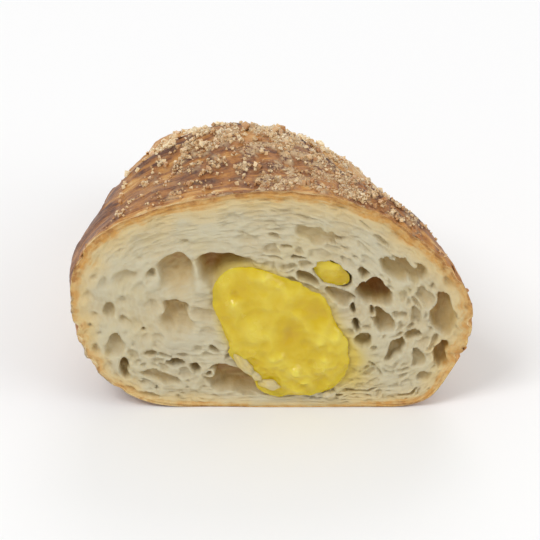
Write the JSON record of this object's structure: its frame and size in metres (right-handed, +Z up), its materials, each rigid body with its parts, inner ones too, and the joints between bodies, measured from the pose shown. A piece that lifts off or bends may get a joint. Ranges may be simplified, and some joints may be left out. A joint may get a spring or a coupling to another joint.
{
  "type": "cream-filled croissant half",
  "caption": "Half of a sugar-topped croissant, cut across to show an open crumb and a yellow cream filling.",
  "frame": {"origin": "on the flat base it rests on, under the roll, about half-way from the cut face to the tip of the horn", "axes": "+Z up; -Y is the way the cut face looks; the horn runs back along +Y and turns towards -X"},
  "size_m": [0.0709, 0.0782, 0.0467],
  "materials": {
    "crust": "baked golden-brown crust, satin, over a matte cream-white crumb",
    "cream": "smooth glossy yellow custard cream"
  },
  "bodies": {
    "root": {"pastry": "crust", "cream": "cream", "cream_pocket": "cream"}
  },
  "joints": []
}
